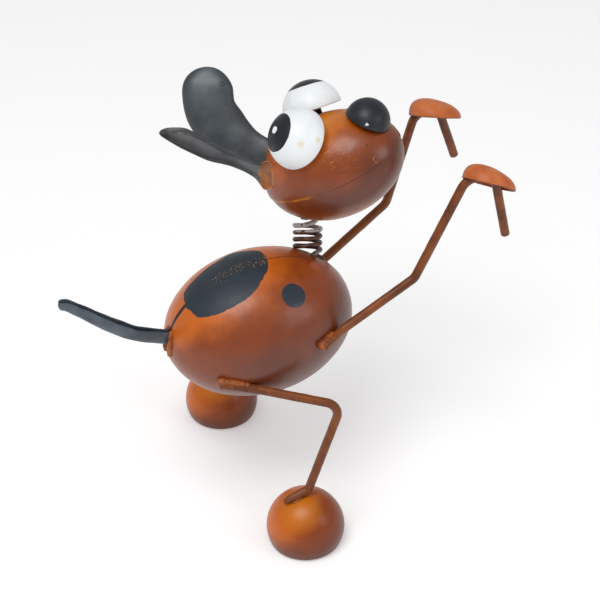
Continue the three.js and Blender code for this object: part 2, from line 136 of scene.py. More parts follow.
# Ears: rim lines from the weld to the tip, in the head's frame.
# Widths and depths of a leaf are pairs of a share of its length and a size.
EAR_SIZES = {
    "right": {
        "wall": 1,
        "widths": [(0, 6), (0.03, 11), (0.09, 17), (0.22, 11), (0.38, 13), (0.68, 22.5), (0.86, 25)],
        "depths": [(0, 2), (0.55, 5.2)],
        "root_opens": Vector((0.2, -0.93, 0.18)),
        "blunt": 4,
    },
    "left": {"wall": 1, "widths": [(0, 13), (0.55, 28.5)], "depths": [(0, 2.4), (0.55, 5.2)]},
}
EAR_SINK = 1.8
EAR_WAY = {"right": (-0.622, -0.652, 0.434), "left": (-0.78, 0.427, 0.456)}
EAR_HOLLOW = {"right": Vector((-0.39, -0.87, -0.33)), "left": Vector((-0.39, 0.87, -0.33))}
EAR_LINE = {
    "right": [
        (0, 0, 0), (-9.6, 3.6, 6.5), (-19.2, 6.2, 14), (-28, 4.3, 24.6),
        (-34, 0.6, 36.9), (-36, -5.3, 47.1), (-36, -7.7, 51),
    ],
    "left": [
        (0, 0, 0), (-8.5, -0.4, 5.7), (-16.7, -0.1, 13.5), (-22.8, 1.3, 24),
        (-25.8, 4.3, 36.3), (-23.2, 9.1, 47.3), (-19.4, 15.9, 57.2),
    ],
}

# Tail: its rim line starts on the body's back end
TAIL_SIZES = {
    "wall": 1,
    "widths": [(0, 4), (0.55, 6.5), (1, 5)],
    "depths": [(0, 8), (0.5, 7), (1, 5.2)],
}
TAIL_WAY = (-0.965, 0, 0.262)
TAIL_SINK = 1.1
TAIL_OPENS = Vector((0.5, 0, 0.87))
TAIL_LINE = [
    (0, 0, 0), (-7, 0, 3), (-20, 0, 9), (-34, 0, 19.5), (-47, 0, 31), (-55.5, 0, 37.5), (-61, 0, 39.2),
]
TAIL_WELD_BACK = -0.97
TAIL_WELD = [(0.05, 0.32), (0.09, 0.12), (0.06, -0.09)]

# How leaves are drawn: the root's turn is in shares of the length, the largest wall in one of the half width
LEAF_STATIONS = 120
LEAF_ROWS = 90
LEAF_TIP_ROWS = 26
LEAF_TIP_TURN = math.radians(89)
LEAF_ARC = 28
LEAF_EDGE = 4
LEAF_ROLL = 0.35
LEAF_ROOT_TURN = (0.04, 0.34)
LEAF_LEAST_DEPTH = 0.6
LEAF_LARGEST_WALL = 0.7

# Rods: a soft end is (ring from the end, share of its width)
ROD_RADIUS = 2.5
ROD_SIDES = 24
ROD_GAP = 2.5
ROD_STAND = 2.8
ROD_BEND = 7
CROWN_BEND = 10
HOOK_BEND = 4.5
ANKLE_BEND = 4
ROD_SOFT_END = ((-1, 0.5), (-2, 0.84), (-3, 0.96))

# Welds: runs are shares of the way from a rod's end to its first bend
WELD_STAND = 1.5
BEAD_STAND = 0.4
HIP_WELD_RUN = (-0.12, 0.15, 0.45, 0.8)
HIP_TACK_RUN = (0.5, 0.6)
TOE_WELD_RUN = (0.3, 0.7)
ARM_WELD_RUN = (-0.12, 0.7)
WELD_GAP = 0.5
WELD_SIDES = 20
WELD_RIPPLE_STEP = 1.2

# Feet and legs
FOOT_RADIUS = 21.9
FOOT_CENTRE_HEIGHT = 9
FOOT_SIDE = 61
FOOT_EDGE = 0.9
HIP_END = (-0.649, 0.736, -0.191)
HIP_FRONT = (-0.318, 0.893, -0.318)
KNEE = Vector((21.3, FOOT_SIDE, 89))
ANKLE_FORWARD = 1.8
ANKLE_LIFT = 1.5
TOE_END_BACK = 12.8
TOE_END_LIFT = 0.6

# Arms
ARMS = {
    "right": {
        "root_back": (0.366, -0.928, 0.068),
        "root_front": (0.619, -0.777, 0.115),
        "elbow": Vector((76.1, -37, 141.7)),
        "crown_back": Vector((106.3, -37, 201)),
        "crown_front": Vector((119.2, -43, 196.4)),
        "hook_end": Vector((127.9, -43, 159.5)),
    },
    "left": {
        "root_back": (0.49, 0.769, -0.4),
        "root_front": (0.705, 0.7, -0.119),
        "elbow": Vector((96.4, 37, 139.7)),
        "crown_back": Vector((113.5, 37, 197.8)),
        "crown_front": Vector((125.2, 31.5, 197)),
        "hook_end": Vector((136.6, 31.5, 165)),
    },
}

# Paws
PAW_RADIUS = 14.6
PAW_HEIGHT = 9.8
PAW_DROP = 3.1
PAW_LEAN = math.radians(26)
PAW_AHEAD = 4.3
PAW_APEX_BACK = 5
PAW_WALL = 1.1
PAW_RIM = 0.9
PAW_POLE = 0.01

# Camera, in the dog's frame
CAMERA_PLACE = Vector((-309.7, -726.1, 721.3))
CAMERA_AZIMUTH = math.radians(-24.73)
CAMERA_ELEVATION = math.radians(37.06)
CAMERA_LENS = 108
CAMERA_SENSOR = 36
PICTURE_RIGHT = Vector((0.908, -0.418, 0))

# Painted marks on the body: places are ways from its centre, and the patch is seen from above
PATCH_OUTLINE = [
    (-39.1, 9.9), (-42.1, 0.4), (-41.5, -5.9), (-39.8, -11.5), (-35.5, -15.6), (-30.4, -18.0),
    (-23.9, -19.8), (-18.3, -20.1), (-12.7, -19.3), (-7.8, -17.5), (-3.4, -14.3), (1.0, -10.5),
    (4.7, -5.6), (6.8, 1.1), (6.2, 10.7), (0.1, 16.8), (-6.5, 21.4), (-13.6, 18.6), (-20.3, 16.7),
    (-26.4, 15.1), (-31.4, 13.1), (-35.6, 11.8),
]
PATCH_FAR = 10.0
CHIP_BAND_WAY = (-0.03, -0.06, 0.95)
DOT_WAY = (0.204, -0.612, 0.763)
DOT_RADIUS = 7.3
OPEN_SEAM_WAY = (-0.95, 0, 0.3)

# Painted marks in the head's frame: arcs and smears are pairs of a place and a radius
MUZZLE_SCUFFS = (16, -23, 13.5)
MUZZLE_ARCS = [((12, -23, 15.5), 4), ((20, -22.3, 12.5), 3), ((33, -17, 3), 2.6)]
MUZZLE_SPECK = (31, -15.4, 11.3)
# Middle of the painted highlight on top of the head.
BROW_HIGHLIGHT = (6, -2, 29)
REAR_SEAM_WAY = (-0.8, -0.6, 0)
LINE_WIDTH = 0.7
EAR_TAB = (-32.2, -15.7, 14.3)
EAR_TAB_RADIUS = 7
EAR_WELD_RADIUS = {"right": 14.4, "left": 10.5}
RING_MARK = (-44.5, 20.8, 59.6)
EYE_SMEARS = [((5.4, -29.2, 31.3), 5.2), ((11.9, -23.9, 28.0), 4.9)]
EYE_SPECK = (0, 4.8, 40.2)
# Place of the nose's painted glint.
NOSE_GLINT_PLACE = (35.1, -11, 20.6)

foot_low, foot_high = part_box("foot_right")
FEET_MIDDLE = (foot_low + foot_high) / 2 / MM + Vector((0, FOOT_SIDE, 0))
FEET_MIDDLE.z = 0


def off_egg(way, halves, stand):
    grown = halves + Vector((stand,) * 3)
    unit = Vector(way).normalized()
    return Vector((unit.x * grown.x, unit.y * grown.y, unit.z * grown.z))


def off_body(way, stand=0.0):
    return BODY_CENTRE + BODY_TURN @ off_egg(way, BODY_HALVES, stand)


SPRING_FOOT = off_body(SPRING_WAY)
SPRING_TOP = SPRING_FOOT + SPRING_AXIS * SPRING_LENGTH
HEAD_CENTRE = SPRING_TOP - HEAD_TURN @ off_egg(HEAD_WELD, HEAD_HALVES, HEAD_WELD_STAND)


def in_head(local):
    return HEAD_CENTRE + HEAD_TURN @ Vector(local)


def off_head(way, stand=0.0):
    return in_head(off_egg(way, HEAD_HALVES, stand))


def ear_root(side):
    """Where an ear's rim line starts, in the head's frame."""
    return off_egg(EAR_WAY[side], HEAD_HALVES, -EAR_SINK)


def mirrored(way, side):
    return (way[0], SIDES[side] * abs(way[1]), way[2])


# Mesh making


def make_piece(name, points, faces, node, paint):
    """A smooth mesh from points in the dog's frame, riding on the figure and standing for its CAD node."""
    mesh = bpy.data.meshes.new(name)
    mesh.from_pydata([(p + FEET_MIDDLE) * MM for p in points], [], faces)
    mesh.validate()
    mesh.polygons.foreach_set("use_smooth", [True] * len(mesh.polygons))
    piece = bpy.data.objects.new(name, mesh)
    bpy.context.scene.collection.objects.link(piece)
    mesh.materials.append(paint)
    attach(piece, "root")
    if node:
        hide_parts(node)
    return piece


def mark_points(piece, name, values):
    """A value at each point of a mesh, which its paint reads by name."""
    attribute = piece.data.attributes.new(name, "FLOAT", "POINT")
    attribute.data.foreach_set("value", values)


def grid_faces(rows, columns):
    """Faces of a skin through rows of points, each row closed on itself."""
    faces = []
    for i in range(rows - 1):
        for j in range(columns):
            k = (j + 1) % columns
            faces.append((i * columns + j, i * columns + k, (i + 1) * columns + k, (i + 1) * columns + j))
    return faces


def middle_of(ring):
    return sum(ring, Vector()) / len(ring)


def ring_surface(rings):
    """Points and faces of a closed skin through rings of equal count, with flat fans at both ends."""
    count = len(rings[0])
    points = [p for ring in rings for p in ring]
    faces = grid_faces(len(rings), count)
    first, last = len(points), len(points) + 1
    points += [middle_of(rings[0]), middle_of(rings[-1])]
    end = (len(rings) - 1) * count
    for j in range(count):
        k = (j + 1) % count
        faces.append((first, k, j))
        faces.append((last, end + j, end + k))
    return points, faces


def turned(profile, sides, place, facing, shape=None):
    """A turned form: profile pairs are (radius, height) along the facing, shape moves each local point."""
    turn = UP.rotation_difference(facing)
    rings = []
    for radius, height in profile:
        ring = []
        for j in range(sides):
            angle = 2 * math.pi * j / sides
            local = Vector((radius * math.cos(angle), radius * math.sin(angle), height))
            ring.append(place + turn @ (shape(local) if shape else local))
        rings.append(ring)
    return ring_surface(rings)


def arch(radius, height, steps, base=0.0, pole=POLE_RADIUS):
    """(radius, height) pairs up a quarter of an ellipse, from its rim to a pole that is nearly a point."""
    pairs = []
    for i in range(steps + 1):
        angle = math.pi / 2 * i / steps
        pairs.append((max(radius * math.cos(angle), pole), base + height * math.sin(angle)))
    return pairs


def lumps(point, size, height, seed):
    """A smooth seeded rise at a point, for hand-worked metal."""
    return height * noise.noise(point / size + Vector((seed, 2.3 * seed, 5.1 * seed)))


def bent_path(corners, step_deg=6):
    """Stations along a rod: corners are (point, bend radius), and each bend is a true arc."""
    stations = [corners[0][0]]
    for (before, _), (point, bend), (after, _) in zip(corners, corners[1:], corners[2:]):
        into = (point - before).normalized()
        out = (after - point).normalized()
        angle = into.angle(out)
        reach = bend * math.tan(angle / 2)
        start = point - into * reach
        inward = (out - into * into.dot(out)).normalized()
        count = max(3, math.ceil(math.degrees(angle) / step_deg))
        for i in range(count + 1):
            turn = angle * i / count
            stations.append(start + into * bend * math.sin(turn) + inward * bend * (1 - math.cos(turn)))
    stations.append(corners[-1][0])
    return stations


def spaced(stations, gap):
    """The same line with more stations, so that long straight runs can be uneven too."""
    line = [stations[0]]
    for a, b in zip(stations, stations[1:]):
        count = max(1, round((b - a).length / gap))
        line += [a.lerp(b, i / count) for i in range(1, count + 1)]
    return line


def tube_rings(line, radius_at, sides, seed, unevenness):
    rings = []
    across = None
    for i, point in enumerate(line):
        along = (line[min(i + 1, len(line) - 1)] - line[max(i - 1, 0)]).normalized()
        if across is None:
            across = along.orthogonal().normalized()
        across = (across - along * across.dot(along)).normalized()
        other = along.cross(across)
        radius = radius_at(i / (len(line) - 1))
        ring = []
        for j in range(sides):
            angle = 2 * math.pi * j / sides
            way = across * math.cos(angle) + other * math.sin(angle)
            spot = point + way * radius
            ring.append(spot + way * lumps(spot, 4.0, unevenness, seed))
        rings.append(ring)
    return rings


def rod(name, corners, node, paint, seed, soft_end=False):
    """A bent rod with sawn ends, whose edges are barely broken, or with its last end hammered small."""
    rings = tube_rings(spaced(bent_path(corners), ROD_GAP), lambda u: ROD_RADIUS, ROD_SIDES, seed, 0.1)
    if soft_end:
        for back, share in ROD_SOFT_END:
            middle = middle_of(rings[back])
            rings[back] = [middle + (p - middle) * share for p in rings[back]]
    broken_edge, edge_back = 0.9, 0.12
    for end, beyond in ((0, 1), (-1, -2)):
        middle = middle_of(rings[end])
        trimmed = [middle + (p - middle) * broken_edge for p in rings[end]]
        inner = rings[beyond][0] - rings[end][0]
        rings[end] = [p + inner * edge_back for p in rings[end]]
        rings.insert(0 if end == 0 else len(rings), trimmed)
    points, faces = ring_surface(rings)
    make_piece(name, points, faces, node, paint)


def weld_bead(name, line, width, paint, seed, ripple=0.03):
    """A run of weld metal along a line, rippled or smoothed over by paint."""
    fine = spaced(line, WELD_GAP)
    span = len(fine) - 1

    def radius_at(u):
        ends = math.sqrt(max(0.0, 1 - (2 * u - 1) ** 6))
        return width * (0.25 + 0.75 * ends) * (1 + ripple * math.sin(u * span * WELD_RIPPLE_STEP))

    rings = tube_rings(fine, radius_at, WELD_SIDES, seed, 0.2 + 2 * ripple)
    points, faces = ring_surface(rings)
    make_piece(name, points, faces, None, paint)


def smooth_line(points, count):
    """Evenly spaced points and tangents along a smooth curve through the given points, and its length."""
    path = [Vector(p) for p in points]
    ends = [path[0] * 2 - path[1], *path, path[-1] * 2 - path[-2]]
    steps = 40
    dense = []
    for a, b, c, d in zip(ends, ends[1:], ends[2:], ends[3:]):
        second, third = 2 * a - 5 * b + 4 * c - d, 3 * b - a - 3 * c + d
        for i in range(steps):
            t = i / steps
            dense.append(0.5 * (2 * b + (c - a) * t + second * t * t + third * t ** 3))
    dense.append(path[-1])
    lengths = [0.0]
    for a, b in zip(dense, dense[1:]):
        lengths.append(lengths[-1] + (b - a).length)
    line = []
    k = 0
    for i in range(count + 1):
        target = lengths[-1] * i / count
        while k < len(dense) - 2 and lengths[k + 1] < target:
            k += 1
        share = (target - lengths[k]) / (lengths[k + 1] - lengths[k])
        line.append((dense[k].lerp(dense[k + 1], share), (dense[k + 1] - dense[k]).normalized()))
    return line, lengths[-1]


def smoothstep(value, low, high):
    t = min(1.0, max(0.0, (value - low) / (high - low)))
    return t * t * (3 - 2 * t)


def profile_at(share, profile):
    """A value that runs smoothly through (share, value) pairs."""
    for (start, low), (end, high) in zip(profile, profile[1:]):
        if share <= end:
            return low + (high - low) * smoothstep(share, start, end)
    return profile[-1][1]


def leaf_section(half, deep, wall):
    """(reach, rise) pairs around a half-round wall: its back, a rolled edge, its hollow, the other edge."""
    inner_half, inner_deep = max(half - wall, 0.05), max(deep - wall, 0.05)
    middle, thick = (half + inner_half) / 2, (half - inner_half) / 2
    roll = wall * LEAF_ROLL
    round_wall = [math.pi * i / LEAF_ARC for i in range(LEAF_ARC + 1)]
    round_edge = [math.pi * i / LEAF_EDGE for i in range(1, LEAF_EDGE)]
    section = [(half * math.cos(a), -deep * math.sin(a)) for a in round_wall]
    section += [(-middle - thick * math.cos(a), roll * math.sin(a)) for a in round_edge]
    section += [(inner_half * math.cos(a), -inner_deep * math.sin(a)) for a in reversed(round_wall)]
    section += [(middle + thick * math.cos(a), roll * math.sin(a)) for a in reversed(round_edge)]
    return section


def leaf(name, line, hollow, sizes, to_world, node, paint, seed):
    """A pressed channel: a half-round wall with rolled edges, hollow on one side, with a round tip."""
    stations, length = smooth_line(line, LEAF_STATIONS)
    tip_share = sizes["widths"][-1][1] / 2 / length
    root_opens = sizes.get("root_opens", hollow)
    tip_turns = [math.sin(i / LEAF_TIP_ROWS * LEAF_TIP_TURN) for i in range(LEAF_TIP_ROWS + 1)]
    shares = [i / LEAF_ROWS * (1 - tip_share) for i in range(LEAF_ROWS)]
    shares += [1 - tip_share + tip_share * turn for turn in tip_turns]
    rings = []
    rims = []
    for u in shares:
        k = min(LEAF_STATIONS - 1, int(u * LEAF_STATIONS))
        part = u * LEAF_STATIONS - k
        centre = stations[k][0].lerp(stations[k + 1][0], part)
        along = stations[k][1].lerp(stations[k + 1][1], part).normalized()
        across = along.cross(root_opens.lerp(hollow, smoothstep(u, *LEAF_ROOT_TURN))).normalized()
        opened = across.cross(along).normalized()
        tip = max(0.0, (u - 1 + tip_share) / tip_share)
        rounding = math.sqrt(max(0.0, 1 - tip ** sizes.get("blunt", 2)))
        half = profile_at(u, sizes["widths"]) / 2 * rounding
        deep = max(profile_at(u, sizes["depths"]) * rounding, LEAF_LEAST_DEPTH)
        ring = []
        for reach, rise in leaf_section(half, deep, min(sizes["wall"], half * LEAF_LARGEST_WALL)):
            spot = centre + across * reach + opened * rise
            ring.append(to_world(spot + opened * lumps(spot, 9.0, 0.5, seed)))
            rims.append(abs(reach) / half)
        rings.append(ring)
    points, faces = ring_surface(rings)
    piece = make_piece(name, points, faces, node, paint)
    mark_points(piece, "rim", rims + [0.0, 1.0])


# Materials


def paint_rgb(red, green, blue):
    """A colour as seen, 0 to 255, in the renderer's linear values."""
    def linear(value):
        share = value / 255
        return share / 12.92 if share <= 0.04045 else ((share + 0.055) / 1.055) ** 2.4
    return (linear(red), linear(green), linear(blue), 1)


# Colours
# The deep brown is painted shade on the undersides and also the enamel's dark mottle; the lit brown is painted
# light.
BROWN_SHADE_AND_MOTTLE = paint_rgb(94, 40, 16)
BROWN_MID = paint_rgb(134, 58, 10)
BROWN_LIT = paint_rgb(200, 98, 8)
# Gold is worn metal and marks, and also the painted highlights on the feet and the brow.
GOLD = paint_rgb(208, 126, 20)
TAN = paint_rgb(176, 138, 92)
TAB_BROWN = paint_rgb(138, 78, 34)
WELD_GOLD = paint_rgb(172, 100, 28)
UNDERSIDE_ORANGE = paint_rgb(190, 100, 14)
BODY_SEAM = paint_rgb(46, 20, 12)
HEAD_SEAM = paint_rgb(60, 26, 14)
PAW_DEEP = paint_rgb(180, 88, 32)
PAW_LIT = paint_rgb(202, 110, 54)
ROD_DEEP = paint_rgb(84, 41, 19)
ROD_LIT = paint_rgb(134, 71, 27)
ROD_RUBBED = paint_rgb(156, 98, 62)
WELD_DEEP = paint_rgb(122, 58, 21)
WELD_LIT = paint_rgb(164, 85, 24)
BLACK = paint_rgb(22, 33, 43)
BLACK_DUSTY = paint_rgb(33, 47, 59)
BLACK_RUBBED = paint_rgb(96, 74, 60)
TAIL_DEEP = paint_rgb(48, 58, 68)
TAIL_PALE = paint_rgb(78, 92, 104)
# Ear tones: the near (right) ear's are lighter and greyer as a painted reflection of the floor on its face,
# and each paler tone carries a painted sheen.
EAR_DEEP = {"right": paint_rgb(76, 80, 84), "left": paint_rgb(58, 66, 71)}
EAR_PALE_AND_SHEEN = {"right": paint_rgb(104, 108, 111), "left": paint_rgb(82, 91, 96)}
EAR_RIM_SHADE = paint_rgb(30, 36, 42)
EAR_WORN = paint_rgb(132, 92, 56)
EAR_RING = paint_rgb(16, 18, 20)
NOSE_DEEP = paint_rgb(20, 26, 32)
NOSE_PALE = paint_rgb(30, 38, 46)
# White of the painted glint on the nose.
NOSE_GLINT_WHITE = paint_rgb(214, 222, 226)
EYE_WHITE = paint_rgb(236, 240, 242)
EYE_SHADED = paint_rgb(222, 229, 232)
EYE_SMEAR = paint_rgb(222, 200, 120)
EYE_SPECK_TINT = paint_rgb(150, 120, 130)
PUPIL_BLACK = paint_rgb(24, 30, 36)
GLINT_WHITE = paint_rgb(238, 242, 244)
STUD_BROWN = paint_rgb(40, 22, 14)
WIRE_DEEP = paint_rgb(50, 27, 18)
WIRE_LIT = paint_rgb(96, 54, 34)
WIRE_BARE = paint_rgb(176, 170, 166)
FLOOR_TONES = ((0.93, 0.93, 0.93, 1), (0.95, 0.95, 0.95, 1))
PURE_WHITE = (1, 1, 1, 1)
# The way that the painted highlight on the feet faces.
FOOT_HIGHLIGHT_WAY = (-0.32, -0.3, 0.9)

# Finishes, as Paint.finished takes them
ENAMEL_FINISH = ((7, 4, 0.27, 0.44), (14, 2, 0.35), (1.1, 3, 0.035))
BLACK_FINISH = ((5, 4, 0.34, 0.55), (9, 3, 0.3), (0.8, 3, 0.04))

# The colour sockets of a mix node, which have no names of their own
MIX_FIRST, MIX_SECOND, MIX_RESULT = 6, 7, 2


class Paint:
    """A node material: each method adds one step, and most return the socket that it made."""

    def __init__(self, name, roughness, coat=0.0, specular=0.5):
        self.material = bpy.data.materials.new(name)
        self.material.use_nodes = True
        self.nodes = self.material.node_tree.nodes
        self.links = self.material.node_tree.links
        self.shader = self.nodes["Principled BSDF"]
        self.put(self.shader, {
            "Roughness": roughness, "Specular IOR Level": specular,
            "Coat Weight": coat, "Coat Roughness": 0.12,
        })
        self.place = self.nodes.new("ShaderNodeTexCoord").outputs["Object"]
        self.normal = self.nodes.new("ShaderNodeNewGeometry").outputs["Normal"]

    def put(self, node, inputs):
        """Sets inputs, by name or number, to a constant or to another node's output."""
        for key, value in inputs.items():
            if isinstance(value, bpy.types.NodeSocket):
                self.links.new(value, node.inputs[key])
            else:
                node.inputs[key].default_value = value

    def add(self, kind, inputs, **settings):
        node = self.nodes.new(kind)
        for name, value in settings.items():
            setattr(node, name, value)
        self.put(node, inputs)
        return node

    def work_out(self, operation, first, second):
        return self.add("ShaderNodeMath", {0: first, 1: second}, operation=operation).outputs[0]

    def plus(self, first, second):
        return self.work_out("ADD", first, second)

    def minus(self, first, second):
        return self.work_out("SUBTRACT", first, second)

    def times(self, first, second):
        return self.work_out("MULTIPLY", first, second)

    def larger(self, first, second):
        return self.work_out("MAXIMUM", first, second)

    def compare(self, operation, first, second):
        """One number from two vectors."""
        return self.add("ShaderNodeVectorMath", {0: first, 1: second}, operation=operation).outputs["Value"]

    def facing(self, way):
        """How far the surface faces a way, from -1 to 1."""
        return self.compare("DOT_PRODUCT", self.normal, way)

    def upward(self):
        return self.facing(UP)

    def value(self, name):
        return self.add("ShaderNodeAttribute", {}, attribute_name=name).outputs["Fac"]

    def noise(self, size_mm, detail, distortion=0.0, stretch=None, roughness=0.55):
        where = self.place
        if stretch:
            where = self.add("ShaderNodeMapping", {"Vector": where, "Scale": stretch}).outputs[0]
        return self.add("ShaderNodeTexNoise", {
            "Vector": where, "Scale": 1 / (size_mm * MM), "Detail": detail,
            "Roughness": roughness, "Distortion": distortion,
        }).outputs["Fac"]

    def rise(self, value, low, high):
        """0 at the low value and 1 at the high one, with a smooth run between them."""
        inputs = {"Value": value, "From Min": low, "From Max": high}
        return self.add("ShaderNodeMapRange", inputs, interpolation_type="SMOOTHSTEP").outputs["Result"]

    def spread(self, value, low, high):
        """A value from 0 to 1 spread over low to high."""
        inputs = {"Value": value, "To Min": low, "To Max": high}
        return self.add("ShaderNodeMapRange", inputs).outputs["Result"]

    def near(self, point, radius_mm, edge_mm, wobble=None):
        """1 within a radius of a point of the dog's frame; a wobble is a socket and the mm it adds."""
        distance = self.compare("DISTANCE", self.place, (Vector(point) + FEET_MIDDLE) * MM)
        if wobble:
            distance = self.plus(distance, self.times(wobble[0], wobble[1] * MM))
        return self.rise(distance, (radius_mm + edge_mm) * MM, (radius_mm - edge_mm) * MM)

    def ring(self, point, radius_mm, line_mm, edge_mm, wobble=None):
        """1 on a line around a radius from a point of the dog's frame."""
        outer = self.near(point, radius_mm + line_mm, edge_mm, wobble)
        return self.minus(outer, self.near(point, radius_mm, edge_mm, wobble))

    def mix(self, share, first, second):
        inputs = {"Factor": share, MIX_FIRST: first, MIX_SECOND: second}
        return self.add("ShaderNodeMix", inputs, data_type="RGBA").outputs[MIX_RESULT]

    def colour(self, value):
        self.put(self.shader, {"Base Color": value})

    def finished(self, gloss, *layers, matt=None):
        """The material, its gloss (noise size, detail, low, high) or None where even, with matt added.

        Each layer of relief is (noise size, detail, height in mm).
        """
        if gloss:
            size, detail, low, high = gloss
            rough = self.spread(self.noise(size, detail), low, high)
            self.put(self.shader, {"Roughness": self.plus(rough, matt) if matt else rough})
        normal = self.normal
        for size, detail, height in layers:
            normal = self.add("ShaderNodeBump", {
                "Height": self.noise(size, detail), "Distance": height * MM,
                "Strength": 1.0, "Normal": normal,
            }).outputs["Normal"]
        self.put(self.shader, {"Normal": normal})
        return self.material


def brown_base(paint, lift=0.0, clouds=0.8):
    """Hand-sprayed brown enamel with painted light and shade: orange where it faces up and to the rear,
    painted shade below and ahead, clouded all over.
    """
    cloud = paint.times(paint.minus(paint.noise(26, 3), 0.5), clouds)
    # Painted light where it faces up, and painted shade on the side that faces the picture's right.
    up = paint.times(paint.upward(), 0.45)
    ahead = paint.times(paint.facing(PICTURE_RIGHT), -0.45)
    light_and_cloud = paint.plus(paint.plus(up, ahead), paint.plus(cloud, lift))
    colour = paint.mix(paint.rise(light_and_cloud, -0.35, 0.2), BROWN_SHADE_AND_MOTTLE, BROWN_MID)
    colour = paint.mix(paint.rise(light_and_cloud, 0.18, 0.6), colour, BROWN_LIT)
    return paint.mix(paint.times(paint.rise(paint.noise(5, 5), 0.56, 0.75), 0.2), colour, BROWN_SHADE_AND_MOTTLE)


def foot_enamel():
    """The brown enamel, more orange, with a painted golden highlight on top and painted shade where it faces
    down.
    """
    paint = Paint("foot_enamel", 0.36, coat=0.06, specular=0.35)
    colour = brown_base(paint, 0.1, 0.4)
    # Painted golden highlight on the faces turned toward the light.
    painted_highlight = paint.times(paint.rise(paint.facing(FOOT_HIGHLIGHT_WAY), 0.76, 1.02), 0.5)
    colour = paint.mix(painted_highlight, colour, GOLD)
    # Painted shade where the foot faces down.
    low = paint.rise(paint.upward(), 0.25, -0.5)
    paint.colour(paint.mix(low, colour, BROWN_SHADE_AND_MOTTLE))
    return paint.finished(*ENAMEL_FINISH)


def paw_enamel():
    """Satin tan-orange enamel, darker where it faces down."""
    paint = Paint("paw_enamel", 0.5)
    base = paint.mix(paint.rise(paint.noise(10, 4), 0.35, 0.65), PAW_DEEP, PAW_LIT)
    shade = paint.rise(paint.upward(), 0.3, -0.5)
    paint.colour(paint.mix(shade, base, BROWN_SHADE_AND_MOTTLE))
    return paint.finished((5, 4, 0.42, 0.58), (9, 3, 0.4), (1.2, 3, 0.05))


def body_enamel():
    """The brown enamel with the hand-painted black patch and flank dot, chipped along the seam."""
    paint = Paint("body_enamel", 0.36, coat=0.12)
    colour = brown_base(paint)
    seam = paint.value("seam")
    waver = paint.times(paint.minus(paint.noise(4, 3), 0.5), 1.6)
    patch = paint.rise(paint.plus(paint.value("patch"), waver), -0.25, 0.25)
    dot = paint.near(off_body(DOT_WAY), DOT_RADIUS, 0.2, (paint.noise(5, 2), 0.8))
    band = paint.near(off_body(CHIP_BAND_WAY), 25, 7)
    in_band = paint.times(paint.rise(seam, 5.5, 1.5), band)
    chips = paint.times(paint.rise(paint.noise(0.9, 5, roughness=0.65), 0.575, 0.61), in_band)
    rear = paint.near(off_body(OPEN_SEAM_WAY), 20, 6)
    closed_gap = paint.times(paint.rise(seam, 0.5, 0.15), 0.7)
    open_gap = paint.times(paint.rise(seam, 1.5, 0.9), rear)
    colour = paint.mix(paint.larger(closed_gap, open_gap), colour, BODY_SEAM)
    smoky = paint.mix(paint.noise(9, 3), BLACK, BLACK_DUSTY)
    colour = paint.mix(paint.larger(patch, dot), colour, smoky)
    paint.colour(paint.mix(paint.times(chips, paint.times(patch, 0.8)), colour, TAN))
    paint.put(paint.shader, {"Coat Weight": paint.spread(patch, 0.12, 0.0)})
    return paint.finished(*ENAMEL_FINISH, matt=paint.times(patch, 0.16))


def head_enamel():
    """The brown enamel with golden scuffs and arcs on the near side, a painted highlight over the brow, a worn
    seam and the near ear's tab.
    """
    paint = Paint("head_enamel", 0.36, coat=0.12)
    colour = brown_base(paint, -0.1)
    seam = paint.value("seam")
    scuffs = paint.near(in_head(MUZZLE_SCUFFS), 11, 6)
    marks = paint.rise(paint.noise(9.0, 2, distortion=5.0, stretch=(1, 1, 1.8), roughness=0.4), 0.58, 0.64)
    colour = paint.mix(paint.times(paint.times(scuffs, marks), 0.16), colour, GOLD)
    tab_place, tab_waver = in_head(EAR_TAB), (paint.noise(6, 2), 1.5)
    around = paint.near(tab_place, EAR_TAB_RADIUS + LINE_WIDTH, 0.2, tab_waver)
    colour = paint.mix(paint.times(around, 0.8), colour, GOLD)
    colour = paint.mix(paint.near(tab_place, EAR_TAB_RADIUS, 0.2, tab_waver), colour, TAB_BROWN)
    broken = paint.times(paint.rise(paint.noise(3.5, 3), 0.5, 0.58), 0.55)
    waver = (paint.noise(5, 2), 2.4)
    for place, radius in MUZZLE_ARCS:
        arc = paint.ring(in_head(place), radius, LINE_WIDTH, 0.25, waver)
        colour = paint.mix(paint.times(arc, broken), colour, GOLD)
    low = paint.times(paint.rise(paint.upward(), -0.3, -0.85), 0.55)
    colour = paint.mix(low, colour, UNDERSIDE_ORANGE)
    # Painted highlight on the lit top of the head, over the brow.
    brow_highlight = paint.near(in_head(BROW_HIGHLIGHT), 14, 9)
    colour = paint.mix(paint.times(brow_highlight, 0.75), colour, GOLD)
    rear = paint.near(off_head(REAR_SEAM_WAY), 34, 12)
    edge = paint.times(paint.rise(seam, 1.2, 0.4), rear)
    colour = paint.mix(paint.times(edge, paint.rise(paint.noise(7, 3), 0.35, 0.6)), colour, GOLD)
    gap = paint.times(paint.rise(seam, 0.35, 0.1), 0.4)
    colour = paint.mix(gap, colour, HEAD_SEAM)
    paint.colour(paint.mix(paint.near(in_head(MUZZLE_SPECK), 0.5, 0.1), colour, BLACK))
    return paint.finished(*ENAMEL_FINISH)


def rod_enamel():
    """Brown enamel on the rods, thin and dark with paler rubbed spots, and lighter on top as painted light."""
    paint = Paint("rod_enamel", 0.4, specular=0.35)
    # Clouds, plus painted light where the rod faces up.
    thick = paint.plus(paint.noise(12, 4), paint.times(paint.upward(), 0.12))
    base = paint.mix(paint.rise(thick, 0.25, 0.75), ROD_DEEP, ROD_LIT)
    rubbed = paint.times(paint.rise(paint.noise(1.8, 6), 0.62, 0.7), 0.5)
    paint.colour(paint.mix(rubbed, base, ROD_RUBBED))
    return paint.finished((3, 4, 0.3, 0.5), (3, 4, 0.12), (0.7, 3, 0.04))


